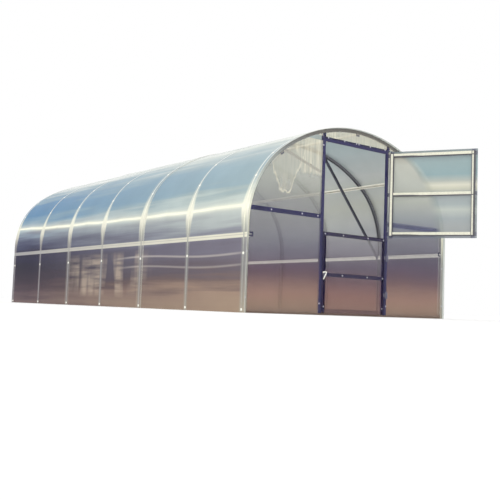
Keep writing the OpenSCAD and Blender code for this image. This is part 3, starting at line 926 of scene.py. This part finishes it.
# ---------------------------------------------------------------- hinges and latches
# Butt hinges on the right post and turn buttons on the free stiles, whose zinc mirrors
# the dark ground, and the door's lever: a white strip bent to a hook.
hinge_zinc = zinc_material("zinc_hinges", paint(84, 82, 106), paint(120, 120, 132), 0.6, 0.1)
dress(["front_hinges", "vent_leaf_hinges", "door_leaf_hinges", "rear_hinges"], hinge_zinc)
latch_enamel = enamel_material("enamel_latch", paint(248, 247, 238), paint(196, 192, 182))
dress(["vent_latch", "door_latch"], hinge_zinc)


# The lever: a path of points from its tip, and an edge on both sides of it
lever_low, lever_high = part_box("door_latch")
lever_path = np.array([[-0.022, 0.020], [0.010, 0.027], [0.032, 0.025], [0.022, 0.003],
                       [0.004, -0.026], [-0.012, -0.052]])
lever_t = 0.0022
lever_sunk = 0.0004
lever_half_w = 0.0075
lever_way = np.gradient(lever_path, axis=0)
lever_side = np.stack([-lever_way[:, 1], lever_way[:, 0]], 1)
lever_side = lever_side / np.linalg.norm(lever_side, axis=1, keepdims=True)
lever_edge = np.array([-1.0, 0.0, 1.0]) * lever_half_w
lever_flat = lever_path[:, None] + lever_edge[None, :, None] * lever_side[:, None]
lever_middle = (lever_low + lever_high) / 2
lever_skins = []
for lever_y in (lever_low.y + lever_sunk - lever_t, lever_low.y + lever_sunk):
    lever_skins.append(np.stack([lever_flat[..., 0] + lever_middle.x,
                                 np.full(lever_flat.shape[:2], lever_y),
                                 lever_flat[..., 1] + lever_middle.z], 2))
lever = shell("door_latch_lever", *lever_skins, [latch_enamel, latch_enamel, latch_enamel])
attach(lever, "door_leaf")

# ---------------------------------------------------------------- gable and leaf screws
# Self-drilling screws with pale washers along the gable rails, at the posts' ends and on
# both leaves. Those of the vent leaf turn with it about its hinge line.
screw_profile = np.array([[0.0086, 0.0], [0.0088, 0.0007], [0.0074, 0.0015], [0.0048, 0.0018],
                          [0.0046, 0.0036], [0.0032, 0.0044]])
screw_steel = enamel_material("screw_steel", paint(196, 196, 210), paint(140, 140, 164))
sheet_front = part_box("front_panel_left")[0].y
sheet_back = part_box("rear_panels")[1].y
post_x = post_edge - 0.01
arch_face_x = 1.484
head_z = 1.888
rail_z = contact("z", "front_mid_rail_left")[1]
side_places = [(x, rail_z) for x in (1.19, 0.78, 0.56)]
side_places += [(post_x, z) for z in (0.12, 1.8)]
side_places += [(arch_face_x, z) for z in (0.15, 0.6)]
top_places = [(x, head_z) for x in (0.44, 0.2, 0.02)]
every = np.array([(sign * x, z) for x, z in side_places + top_places for sign in (-1, 1)])


def screw_rows(name, places, y, facing, body):
    """Screws at (x, z) places on a flat sheet, their heads facing along facing in y."""
    centres = np.stack([places[:, 0], np.full(len(places), y), places[:, 1]], 1)
    axes = np.tile([0.0, facing, 0.0], (len(places), 1))
    made = turned(name, screw_profile, centres, axes, screw_steel)
    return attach(made, body)


screw_rows("gable_screws_front", every, sheet_front, -1, "frame")
screw_rows("gable_screws_rear", every, sheet_back, 1, "frame")
stile_x = door_high.x - leaf_profile / 2
leaf_places = [(sign * stile_x, z) for z in (0.09, door_rail_z, 0.86) for sign in (-1, 1)]
leaf_places += [(x, z) for x in (-0.18, 0.2) for z in (door_rail_z, door_high.z - leaf_profile / 2)]
screw_rows("door_screws", np.array(leaf_places), sheet_front, -1, "door_leaf")

vent_places = np.array([(sign * stile_x, z) for z in (0.95, 1.24, 1.52, 1.81) for sign in (-1, 1)]
                       + [(x, z) for x in (-0.15, 0.15) for z in (0.935, 1.825)])
cos_turn, sin_turn = math.cos(vent_turn), math.sin(vent_turn)
turn = np.array([[cos_turn, -sin_turn], [sin_turn, cos_turn]])
flat_spots = np.stack([vent_places[:, 0], np.full(len(vent_places), sheet_front)], 1)
open_spots = (flat_spots - [hinge_x, hinge_y]) @ turn.T + [hinge_x, hinge_y]
vent_facing = np.array([0.0, -1.0]) @ turn.T
vent_screws = turned("vent_screws", screw_profile, np.insert(open_spots, 2, vent_places[:, 1], 1),
                     np.tile([*vent_facing, 0.0], (len(vent_places), 1)), screw_steel)
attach(vent_screws, "vent_leaf")

# ---------------------------------------------------------------- studio
# A white floor, soft daylight from all round, and a faint low sun on the left. The
# camera stands close to the ground, off the front gable's left corner.
bpy.ops.mesh.primitive_plane_add(size=160, location=(0, 3, 0))
floor = bpy.context.object
floor.name = "floor"
floor_finish, floor_shader = new_material("floor_finish")
fill(floor_shader, {"Base Color": (0.96, 0.96, 0.96, 1), "Roughness": 0.9, "Specular IOR Level": 0.0})
floor.data.materials.append(floor_finish)

world = bpy.data.worlds.new("daylight")
bpy.context.scene.world = world
world.use_nodes = True
fill(world.node_tree.nodes["Background"], {"Color": (1, 1, 1, 1), "Strength": 1.0})

lamp_data = bpy.data.lights.new("low_sun", "SUN")
lamp_data.energy = 0.5
lamp_data.angle = math.radians(12)
lamp_data.color = (1.0, 0.97, 0.9)
lamp = bpy.data.objects.new("low_sun", lamp_data)
lamp.rotation_euler = (math.radians(50), 0, math.radians(-100))
bpy.context.scene.collection.objects.link(lamp)

camera_data = bpy.data.cameras.new("camera")
camera_data.lens = 55.75
camera_data.sensor_width = 36
camera_data.clip_end = 300
camera = bpy.data.objects.new("camera", camera_data)
camera_spot = (-6.035, -6.007, 0.05)
heading, upward, roll = math.radians(-37.52), math.radians(4.26), math.radians(2.075)
camera.matrix_world = (Matrix.Translation(camera_spot)
                       @ Matrix.Rotation(heading, 4, "Z")
                       @ Matrix.Rotation(math.pi / 2 + upward, 4, "X")
                       @ Matrix.Rotation(roll, 4, "Z"))
bpy.context.scene.collection.objects.link(camera)
bpy.context.scene.camera = camera
bpy.context.scene.view_settings.view_transform = "Standard"
